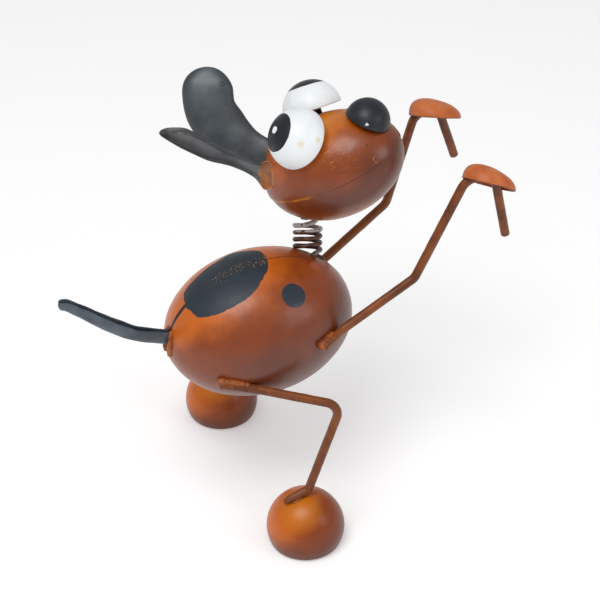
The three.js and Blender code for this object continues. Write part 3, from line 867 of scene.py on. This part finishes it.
def weld_enamel():
    """Paint over rough weld metal, clouded brown and orange."""
    paint = Paint("weld_enamel", 0.42)
    paint.colour(paint.mix(paint.rise(paint.noise(4, 3), 0.35, 0.65), WELD_DEEP, WELD_LIT))
    return paint.finished(None, (1.6, 4, 0.12))


def tail_enamel():
    """Satin slate-blue enamel, clouded and rubbed brown at specks."""
    paint = Paint("tail_enamel", 0.42, coat=0.05)
    base = paint.mix(paint.rise(paint.noise(15, 4), 0.35, 0.7), TAIL_DEEP, TAIL_PALE)
    specks = paint.times(paint.rise(paint.noise(1.4, 6, roughness=0.7), 0.68, 0.73), 0.6)
    paint.colour(paint.mix(specks, base, BLACK_RUBBED))
    return paint.finished(*BLACK_FINISH)


def ear_enamel(side):
    """Charcoal enamel with painted shade toward the rims, with brown gathered at the weld.

    The near ear is rubbed through at its tip, and the far one has a small painted ring.
    """
    paint = Paint(f"ear_enamel_{side}", 0.42, coat=0.05, specular=0.7)
    base = paint.mix(paint.rise(paint.noise(15, 3), 0.3, 0.75), EAR_DEEP[side], EAR_PALE_AND_SHEEN[side])
    # Painted shade toward the rims.
    rim = paint.times(paint.rise(paint.value("rim"), 0.35, 0.95), 0.8)
    base = paint.mix(rim, base, EAR_RIM_SHADE)
    root = ear_root(side)
    if side == "right":
        tip = in_head(root + Vector(EAR_LINE[side][-1]))
        worn = paint.rise(paint.noise(1.8, 6, roughness=0.75), 0.54, 0.62)
        base = paint.mix(paint.times(paint.near(tip, 9, 5), worn), base, EAR_WORN)
    else:
        base = paint.mix(paint.ring(in_head(RING_MARK), 0.9, 0.6, 0.3), base, EAR_RING)
    weld = paint.near(in_head(root), EAR_WELD_RADIUS[side], 0.4, (paint.noise(6, 3), 4))
    painted = paint.mix(paint.rise(paint.noise(5, 3), 0.45, 0.65), TAB_BROWN, WELD_GOLD)
    paint.colour(paint.mix(weld, base, painted))
    return paint.finished(*BLACK_FINISH)


def eye_enamel(side, centre, pupil_way, radius, facing):
    """Gloss white enamel with a hand-painted pupil and faint yellow smears, dark around the stud.

    The near eye has two larger smears and a painted glint.
    """
    paint = Paint(f"eye_enamel_{side}", 0.34, specular=0.35)
    white = paint.mix(paint.rise(paint.noise(8, 3), 0.5, 0.8), EYE_WHITE, EYE_SHADED)
    smear = paint.times(paint.rise(paint.noise(3.5, 5, distortion=1.0), 0.64, 0.72), 0.3)
    if side == "right":
        for place, size in EYE_SMEARS:
            mark = paint.near(in_head(place), size, 0.8, (paint.noise(2.0, 4, distortion=2.5), 7))
            smear = paint.larger(smear, paint.times(mark, 0.55))
    white = paint.mix(smear, white, EYE_SMEAR)
    reach = 2 * radius * math.sin(math.asin(PUPIL_RADIUS / radius) / 2)
    pupil = paint.near(centre + pupil_way * radius, reach, 0.15, (paint.noise(5, 2), 0.7))
    colour = paint.mix(pupil, white, PUPIL_BLACK)
    speck = paint.near(in_head(EYE_SPECK), 0.6, 0.3)
    colour = paint.mix(paint.times(speck, 0.6), colour, EYE_SPECK_TINT)
    if side == "right":
        glint_way = (pupil_way + GLINT_SHIFT).normalized()
        glint = paint.near(centre + glint_way * radius, GLINT_RADIUS, 0.2, (paint.noise(2, 2), 0.8))
        colour = paint.mix(glint, colour, GLINT_WHITE)
    stud = paint.near(centre - facing * EYE_STUD_PAINT_BACK, EYE_STUD_PAINT, 0.3)
    paint.colour(paint.mix(stud, colour, STUD_BROWN))
    return paint.finished((6, 3, 0.3, 0.42), (10, 2, 0.2), (1.2, 3, 0.02))


def nose_enamel():
    """Black enamel, with a small painted glint, a white highlight, on the near side."""
    paint = Paint("nose_enamel", 0.32, coat=0.05, specular=0.4)
    base = paint.mix(paint.rise(paint.noise(8, 4), 0.4, 0.7), NOSE_DEEP, NOSE_PALE)
    # Painted highlight: a small white glint.
    painted_glint = paint.near(in_head(NOSE_GLINT_PLACE), 1.6, 0.3, (paint.noise(1.2, 2), 1.6))
    paint.colour(paint.mix(painted_glint, base, NOSE_GLINT_WHITE))
    return paint.finished((5, 4, 0.38, 0.5), (7, 3, 0.3), (1.0, 3, 0.03))


def spring_paint():
    """Dark painted wire, whose top loop has lost its paint."""
    paint = Paint("spring_wire", 0.4)
    base = paint.mix(paint.rise(paint.noise(3, 4), 0.4, 0.65), WIRE_DEEP, WIRE_LIT)
    worn = paint.plus(paint.times(paint.value("bare"), 0.6), paint.times(paint.noise(2.2, 4), 0.9))
    paint.colour(paint.mix(paint.rise(worn, 0.88, 1.0), base, WIRE_BARE))
    return paint.finished(None, (1.2, 3, 0.1))


# Shells


def egg_half(name, egg, pole, paint, node, seed, shrink=0.0):
    """One pressed half of an egg, which is (centre, turn, halves), turned in at its seam."""
    centre, turn, halves = egg
    rows_to_seam, sides = 72, 176
    size = halves - Vector((shrink,) * 3)
    pole = Vector(pole)
    first = Vector((1, 0, 0))
    second = pole.cross(first)
    lifts = [math.pi / 2 * (1 - i / rows_to_seam) for i in range(rows_to_seam)] + [0.006, 0.003, 0]
    rows = []
    for lift in lifts:
        row = []
        for j in range(sides):
            angle = 2 * math.pi * j / sides
            around = first * math.cos(angle) + second * math.sin(angle)
            unit = pole * math.sin(lift) + around * math.cos(lift)
            local = Vector((unit.x * size.x, unit.y * size.y, unit.z * size.z))
            outward = Vector((unit.x / size.x, unit.y / size.y, unit.z / size.z)).normalized()
            fall = 1 - min(1.0, local.dot(pole) / SEAM_EDGE)
            turned_in = SEAM_EDGE * (1 - math.sqrt(max(0.0, 1 - fall ** 2)))
            local += pole * SEAM_GAP - outward * turned_in
            local += outward * lumps(local, 24.0, 0.22, seed)
            row.append(local)
        rows.append(row)
    rows.append([p * SEAM_TURNED_IN for p in rows[-1]])
    local_points = [p for row in rows for p in row]
    points = [centre + turn @ p for p in local_points]
    piece = make_piece(name, points, grid_faces(len(rows), sides), node, paint)
    mark_points(piece, "seam", [abs(p.dot(pole)) for p in local_points])
    return piece, local_points


def patch_signed(outline):
    """A function of a body point: how far inside the patch it is, in mm, seen from above."""
    smooth = [p for p, _ in smooth_line([(x, y, 0) for x, y in outline + outline[:1]], 160)[0]]

    def signed(local):
        if local.z < 0:
            return -PATCH_FAR
        spot = Vector((local.x, local.y, 0))
        nearest = min((spot - p).length for p in smooth)
        inside = False
        for a, b in zip(smooth, smooth[1:]):
            if (a.y > spot.y) != (b.y > spot.y):
                crossing = a.x + (spot.y - a.y) / (b.y - a.y) * (b.x - a.x)
                inside = inside != (spot.x < crossing)
        return max(-PATCH_FAR, nearest if inside else -nearest)

    return signed


def add_body():
    paint = body_enamel()
    signed = patch_signed(PATCH_OUTLINE)
    egg = (BODY_CENTRE, BODY_TURN, BODY_HALVES)
    for side, sign in SIDES.items():
        name, node = f"body_shell_{side}", f"body_half_{side}"
        piece, local = egg_half(name, egg, (0, sign, 0), paint, node, 3.0 + sign)
        mark_points(piece, "patch", [signed(p) for p in local])


def add_head():
    paint = head_enamel()
    egg = (HEAD_CENTRE, HEAD_TURN, HEAD_HALVES)
    egg_half("head_shell_upper", egg, (0, 0, 1), paint, "head_upper_half", 7.0)
    egg_half("head_shell_lower", egg, (0, 0, -1), paint, "head_lower_half", 8.0, HEAD_LIP)


def dome_profile(radius, height, rim, rings):
    """A dome with a flat base and a rounded rim."""
    profile = [(POLE_RADIUS, 0), (radius * 0.5, 0), (radius - rim, 0)]
    rim_steps = 6
    for i in range(1, rim_steps + 1):
        angle = math.pi / 2 * i / rim_steps
        profile.append((radius - rim + rim * math.sin(angle), rim * (1 - math.cos(angle))))
    return profile + arch(radius, height - rim, rings, base=rim)[1:]


def add_eyes():
    for side in SIDES:
        radius, stand = EYE_RADII[side], EYE_STANDS[side]
        facing = (HEAD_TURN @ Vector(EYE_FACING[side])).normalized()
        centre = off_head(mirrored(EYE_WAY, side), stand)
        pupil_way = (HEAD_TURN @ Vector(PUPIL_WAY[side])).normalized()
        paint = eye_enamel(side, centre, pupil_way, radius, facing)
        stem = [(POLE_RADIUS, -2 * stand), (EYE_STUD_RADIUS, -2 * stand), (EYE_STUD_RADIUS, 0)]
        profile = stem + dome_profile(radius, radius, EYE_RIM, rings=40)[2:]
        points, faces = turned(profile, 96, centre, facing)
        make_piece(f"eye_dome_{side}", points, faces, f"eye_{side}", paint)


def add_nose():
    place = off_head(NOSE_WAY, -NOSE_SINK)
    profile = dome_profile(NOSE_RADIUS, NOSE_HEIGHT, NOSE_RIM, rings=36)
    points, faces = turned(profile, 80, place, HEAD_TURN @ NOSE_FACING)
    make_piece("nose_dome", points, faces, "nose", nose_enamel())


def add_ears():
    for side, sign in SIDES.items():
        line = [ear_root(side) + Vector(p) for p in EAR_LINE[side]]
        leaf(
            f"ear_leaf_{side}", line, EAR_HOLLOW[side].normalized(), EAR_SIZES[side], in_head,
            f"ear_{side}", ear_enamel(side), 11.0 + sign,
        )


def add_tail(weld):
    for side, sign in SIDES.items():
        tab = [off_body((TAIL_WELD_BACK, sign * reach, rise), BEAD_STAND) for reach, rise in TAIL_WELD]
        weld_bead(f"tail_weld_{side}", tab, 1.7, weld, 25.0 + sign, 0.05)
    root = off_body(TAIL_WAY, -TAIL_SINK)
    line = [root + Vector(p) for p in TAIL_LINE]
    leaf(
        "tail_leaf", line, TAIL_OPENS.normalized(), TAIL_SIZES, Vector,
        "tail", tail_enamel(), 21.0,
    )


def spring_line():
    """The wire from its straight tail, up the coil and in to the head's weld."""
    radius = (SPRING_DIAMETER - SPRING_WIRE) / 2
    side_x = (Vector((1, 0, 0)) - SPRING_AXIS * SPRING_AXIS.x).normalized()
    side_y = SPRING_AXIS.cross(side_x)

    def at(turn, reach, rise):
        angle = (SPRING_START_TURN + turn) * 2 * math.pi
        out = side_x * math.cos(angle) + side_y * math.sin(angle)
        return SPRING_FOOT + SPRING_AXIS * rise + out * reach

    line = []
    for i in range(round(SPRING_TURNS * SPRING_STEPS) + 1):
        turn = i / SPRING_STEPS
        line.append(at(turn, radius, SPRING_START + turn * SPRING_PITCH))
    ends = round(SPRING_WIND_IN * SPRING_STEPS)
    end_rise = SPRING_START + SPRING_TURNS * SPRING_PITCH
    for i in range(1, ends + 1):
        share = i / ends
        rise = end_rise + (SPRING_LENGTH + SPRING_WIRE - end_rise) * share
        line.append(at(SPRING_TURNS + share * SPRING_WIND_IN, radius * (1 - share * share), rise))
    away = (line[0] - line[1]).normalized()
    tail = [line[0] + away * SPRING_TAIL * (1 - i / SPRING_TAIL_STEPS) for i in range(SPRING_TAIL_STEPS)]
    return tail + line


def add_spring():
    paint = spring_paint()
    foot = [off_body(way, BEAD_STAND) for way in SPRING_FOOT_WELD]
    weld_bead("spring_foot_weld", foot, 1.3, paint, 6.0, 0.1)
    top = [off_head(HEAD_WELD, BEAD_STAND) + PICTURE_RIGHT * reach for reach in SPRING_TOP_WELD]
    weld_bead("spring_top_weld", top, 1.5, paint, 9.0, 0.1)
    rings = tube_rings(spring_line(), lambda u: SPRING_WIRE_PAINTED / 2, 16, 5.0, 0.18)
    points, faces = ring_surface(rings)
    piece = make_piece("neck_coil", points, faces, "neck_spring", paint)
    bare_from = SPRING_START + (SPRING_TURNS - 1.0) * SPRING_PITCH
    rises = [(p - SPRING_FOOT).dot(SPRING_AXIS) for p in points]
    mark_points(piece, "bare", [smoothstep(r, bare_from - 1, bare_from + 1) for r in rises])


def add_feet():
    """Slightly uneven balls, cut flat below."""
    paint = foot_enamel()
    cut = math.asin(-FOOT_CENTRE_HEIGHT / FOOT_RADIUS)
    rim = FOOT_RADIUS * math.cos(cut)
    profile = [(radius, -FOOT_CENTRE_HEIGHT) for radius in (POLE_RADIUS, rim * 0.6, rim - FOOT_EDGE)]
    rows = 56
    for i in range(1, rows):
        lift = cut + (math.pi / 2 - cut) * i / rows
        profile.append((FOOT_RADIUS * math.cos(lift), FOOT_RADIUS * math.sin(lift)))
    profile.append((POLE_RADIUS, FOOT_RADIUS))
    for side, sign in SIDES.items():
        place = Vector((0, sign * FOOT_SIDE, FOOT_CENTRE_HEIGHT))

        def shape(local, seed=31.0 + sign):
            above = min(1.0, (local.z + FOOT_CENTRE_HEIGHT) / 4)
            return local + local.normalized() * lumps(local, 14.0, 0.3, seed) * above

        points, faces = turned(profile, 112, place, UP, shape)
        make_piece(f"foot_ball_{side}", points, faces, f"foot_{side}", paint)


def run_between(ends, shares, aside=Vector()):
    return [ends[0].lerp(ends[1], share) + aside for share in shares]


def on_ball(centre, forward, sideways, lift):
    """Where a rod's middle lies over a foot ball."""
    clear = FOOT_RADIUS + ROD_RADIUS
    return centre + Vector((forward, sideways, lift + math.sqrt(clear ** 2 - forward ** 2)))


def add_legs(paint, weld):
    for side, sign in SIDES.items():
        centre = Vector((0, sign * FOOT_SIDE, FOOT_CENTRE_HEIGHT))
        hip_ways = [mirrored(way, side) for way in (HIP_END, HIP_FRONT)]
        hip_end, hip_front = [off_body(way, ROD_STAND) for way in hip_ways]
        ankle = on_ball(centre, ANKLE_FORWARD, 0, ANKLE_LIFT)
        toe = on_ball(centre, -TOE_END_BACK, -sign, TOE_END_LIFT)
        knee = Vector((KNEE.x, sign * KNEE.y, KNEE.z))
        corners = [(hip_end, 0), (hip_front, ROD_BEND), (knee, ROD_BEND), (ankle, ANKLE_BEND), (toe, 0)]
        rod(f"leg_rod_{side}", corners, f"leg_{side}", paint, 41.0 + sign, soft_end=True)
        root = [off_body(way, WELD_STAND) for way in hip_ways]
        weld_bead(f"hip_weld_{side}", run_between(root, HIP_WELD_RUN), 3.1, weld, 43.0 + sign)
        tack = run_between(root, HIP_TACK_RUN, Vector((0, sign * 2.2, -0.6)))
        weld_bead(f"hip_tack_{side}", tack, 1.1, weld, 45.0 + sign)
        toe_side = run_between((toe, ankle), TOE_WELD_RUN, Vector((0, sign * 1.7, -2.3)))
        weld_bead(f"foot_weld_{side}", toe_side, 1.1, weld, 47.0 + sign, 0.1)


def add_arms(paint, weld):
    for side, sign in SIDES.items():
        arm = ARMS[side]
        corners = [
            (off_body(arm["root_back"], ROD_STAND), 0),
            (off_body(arm["root_front"], ROD_STAND), ROD_BEND),
            (arm["elbow"], ROD_BEND),
            (arm["crown_back"], CROWN_BEND),
            (arm["crown_front"], HOOK_BEND),
            (arm["hook_end"], 0),
        ]
        rod(f"arm_rod_{side}", corners, f"arm_{side}", paint, 51.0 + sign)
        root = [off_body(arm[key], WELD_STAND) for key in ("root_back", "root_front")]
        weld_bead(f"arm_weld_{side}", run_between(root, ARM_WELD_RUN), 3.0, weld, 53.0 + sign)


def paw_profile():
    """(radius, height) pairs of a thin cap: down its inside to the rim, then up its outside to the pole."""
    inner = PAW_RADIUS - PAW_WALL
    inside = arch(inner, PAW_HEIGHT - PAW_WALL, 24, pole=PAW_POLE)[1:]
    outer = PAW_RADIUS + 0.1
    rim = [(inner, 0), (PAW_RADIUS - 0.5, -0.1), (outer, 0.25), (outer, PAW_RIM)]
    outside = arch(PAW_RADIUS, PAW_HEIGHT - PAW_RIM, 32, base=PAW_RIM, pole=PAW_POLE)[2:]
    return inside[::-1] + rim + outside


def add_paws():
    """Pressed caps: thin, hollow below, their tops leaning back over the rods' crowns."""
    paint = paw_enamel()
    sides = 72
    for side, sign in SIDES.items():
        arm = ARMS[side]
        along = (arm["crown_front"] - arm["crown_back"]).normalized()
        upright = along.cross(Vector((0, 1, 0))).normalized()
        aside = upright.cross(along)
        facing = (upright * math.cos(PAW_LEAN) + aside * math.sin(PAW_LEAN)).normalized()
        place = arm["crown_back"].lerp(arm["crown_front"], 0.5) + along * PAW_AHEAD - facing * PAW_DROP
        other = along.cross(facing)
        rings = []
        for radius, height in paw_profile():
            share = height / PAW_HEIGHT
            ring = []
            for j in range(sides):
                angle = 2 * math.pi * j / sides
                reach = radius * math.cos(angle) - PAW_APEX_BACK * share * abs(share)
                spot = place + along * reach + facing * height + other * radius * math.sin(angle)
                ring.append(spot + facing * lumps(spot, 9.0, 0.35, 61.0 + sign))
            rings.append(ring)
        points, faces = ring_surface(rings)
        faces = [tuple(reversed(face)) for face in faces]
        make_piece(f"paw_cap_{side}", points, faces, f"paw_{side}", paint)


def tidy_normals():
    """Turns the faces of every piece that this script made outward."""
    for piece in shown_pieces():
        if "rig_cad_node" in piece:
            continue
        bpy.context.view_layer.objects.active = piece
        piece.select_set(True)
        bpy.ops.object.mode_set(mode="EDIT")
        bpy.ops.mesh.select_all(action="SELECT")
        bpy.ops.mesh.normals_make_consistent(inside=False)
        bpy.ops.object.mode_set(mode="OBJECT")
        piece.select_set(False)


# Studio, in metres


def add_floor():
    mesh = bpy.data.meshes.new("studio_floor")
    reach = 6.0
    corners = [(-reach, -reach, 0), (reach, -reach, 0), (reach, reach, 0), (-reach, reach, 0)]
    mesh.from_pydata(corners, [], [(0, 1, 2, 3)])
    floor = bpy.data.objects.new("studio_floor", mesh)
    floor.location.z = -0.0002
    bpy.context.scene.collection.objects.link(floor)
    paint = Paint("studio_floor", 0.9, specular=0.1)
    paint.colour(paint.mix(paint.noise(60, 2), *FLOOR_TONES))
    paint.put(paint.shader, {"Emission Color": PURE_WHITE, "Emission Strength": 0.24})
    mesh.materials.append(paint.material)


def add_area(name, place, target, size, power):
    data = bpy.data.lights.new(name, "AREA")
    data.shape = "SQUARE"
    data.size = size
    data.energy = power
    light = bpy.data.objects.new(name, data)
    light.location = place
    light.rotation_mode = "QUATERNION"
    light.rotation_quaternion = (Vector(target) - Vector(place)).to_track_quat("-Z", "Y")
    bpy.context.scene.collection.objects.link(light)


def add_studio():
    world = bpy.data.worlds.new("studio_world")
    bpy.context.scene.world = world
    world.use_nodes = True
    background = world.node_tree.nodes["Background"]
    background.inputs["Color"].default_value = PURE_WHITE
    background.inputs["Strength"].default_value = 0.5
    add_area("key_light", place=(-0.35, -0.25, 1.1), target=(0, 0, 0.1), size=0.55, power=5.5)
    add_area("front_light", place=(0.7, -0.9, 0.7), target=(0, 0, 0.12), size=0.5, power=2)
    bpy.context.scene.view_settings.view_transform = "Standard"


def add_camera():
    data = bpy.data.cameras.new("photo_camera")
    data.lens = CAMERA_LENS
    data.sensor_width = CAMERA_SENSOR
    camera = bpy.data.objects.new("photo_camera", data)
    back = Vector((
        math.sin(CAMERA_AZIMUTH) * math.cos(CAMERA_ELEVATION),
        -math.cos(CAMERA_AZIMUTH) * math.cos(CAMERA_ELEVATION),
        math.sin(CAMERA_ELEVATION),
    ))
    camera.location = (CAMERA_PLACE + FEET_MIDDLE) * MM
    camera.rotation_mode = "QUATERNION"
    camera.rotation_quaternion = (-back).to_track_quat("-Z", "Y")
    bpy.context.scene.collection.objects.link(camera)
    bpy.context.scene.camera = camera


rod_paint = rod_enamel()
weld_paint = weld_enamel()
add_body()
add_head()
add_eyes()
add_nose()
add_ears()
add_tail(weld_paint)
add_spring()
add_feet()
add_legs(rod_paint, weld_paint)
add_arms(rod_paint, weld_paint)
add_paws()
tidy_normals()
add_floor()
add_studio()
add_camera()
